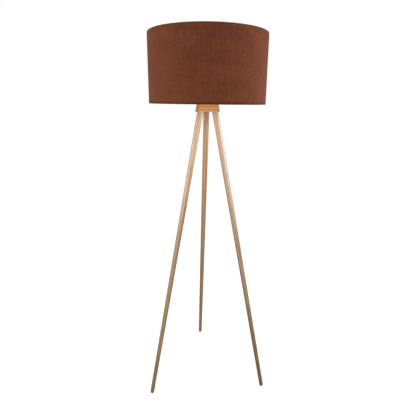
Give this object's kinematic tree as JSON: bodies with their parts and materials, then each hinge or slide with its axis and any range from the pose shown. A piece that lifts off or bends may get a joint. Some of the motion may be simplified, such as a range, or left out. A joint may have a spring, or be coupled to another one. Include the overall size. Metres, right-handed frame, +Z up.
{
  "type": "tripod floor lamp",
  "caption": "Floor lamp with splayed, tapered round wooden legs under a small wooden head block, a screw lampholder and a fabric drum shade.",
  "frame": {"origin": "on the floor, under the middle of the lamp's bounding box, 33 mm behind the lamp's vertical axis", "axes": "+Z up; the back leg stands towards +Y, the left leg towards -X and -Y, the right leg towards +X and -Y"},
  "size_m": [0.506, 0.5159, 1.48],
  "materials": {
    "pale_wood": "turned solid wood, clear matt lacquer",
    "honey_wood": "solid wood, clear satin lacquer",
    "brown_corduroy": "fine-wale corduroy",
    "white_liner": "white styrene sheet",
    "white_wire": "white powder coat",
    "zinc_steel": "zinc plated",
    "brass": "bright",
    "nickel": "nickel plated",
    "black_plastic": "moulded, fine grain",
    "ceramic": "white steatite",
    "white_plastic": "moulded",
    "opal_diffuser": "opal, frosted",
    "circuit_board": "solder mask",
    "brown_glide": "moulded"
  },
  "bodies": {
    "base": {"head_block": "honey_wood", "threaded_nipple": "zinc_steel", "nipple_washer_lower": "zinc_steel", "nipple_nut_lower": "zinc_steel", "nipple_washer_upper": "zinc_steel", "nipple_nut_upper": "zinc_steel", "cable_outlet_bush": "black_plastic", "holder_cap": "black_plastic", "holder_skirt": "black_plastic", "holder_insert": "ceramic", "holder_screw_shell": "brass", "centre_contact": "brass", "terminal_live": "brass", "terminal_neutral": "brass", "terminal_screw_live": "zinc_steel", "terminal_screw_neutral": "zinc_steel", "threaded_insert_back": "brass", "threaded_insert_left": "brass", "threaded_insert_right": "brass"},
    "leg_back_turning": {"leg_back": "pale_wood", "leg_washer_back": "zinc_steel", "hanger_bolt_back": "zinc_steel", "foot_glide_back": "brown_glide"},
    "leg_left_turning": {"leg_left": "pale_wood", "leg_washer_left": "zinc_steel", "hanger_bolt_left": "zinc_steel", "foot_glide_left": "brown_glide"},
    "leg_right_turning": {"leg_right": "pale_wood", "leg_washer_right": "zinc_steel", "hanger_bolt_right": "zinc_steel", "foot_glide_right": "brown_glide"},
    "shade": {"shade_cover": "brown_corduroy", "shade_liner": "white_liner", "shade_ring_top": "white_wire", "shade_ring_bottom": "white_wire", "shade_fitter_ring": "white_wire", "shade_spoke_1": "white_wire", "shade_spoke_2": "white_wire", "shade_spoke_3": "white_wire"},
    "ring_nut": {"shade_ring_nut": "black_plastic"},
    "bulb": {"bulb_end_contact": "nickel", "bulb_insulator": "black_plastic", "bulb_screw_shell": "nickel", "bulb_housing": "white_plastic", "bulb_globe": "opal_diffuser", "bulb_led_board": "white_plastic", "bulb_driver_board": "circuit_board"}
  },
  "joints": [
    {"name": "shade_turn", "type": "hinge", "parent": "base", "child": "shade", "pos_m": [0, -0.0329, 1.266], "axis": [0, 0, 1], "continuous": true},
    {"name": "ring_nut_unscrew", "type": "slide", "parent": "base", "child": "ring_nut", "axis": [0, 0, 1], "range_m": [0, 0.013]},
    {"name": "bulb_take_out", "type": "slide", "parent": "base", "child": "bulb", "axis": [0, 0, 1], "range_m": [0, 0.22]},
    {"name": "leg_back_screw", "type": "hinge", "parent": "base", "child": "leg_back_turning", "pos_m": [0, 0.0009, 1.201], "axis": [0, -0.2043, 0.9789], "continuous": true},
    {"name": "leg_left_screw", "type": "hinge", "parent": "base", "child": "leg_left_turning", "pos_m": [-0.02927, -0.0498, 1.201], "axis": [0.177, 0.1022, 0.9789], "continuous": true},
    {"name": "leg_right_screw", "type": "hinge", "parent": "base", "child": "leg_right_turning", "pos_m": [0.02927, -0.0498, 1.201], "axis": [-0.177, 0.1022, 0.9789], "continuous": true}
  ]
}
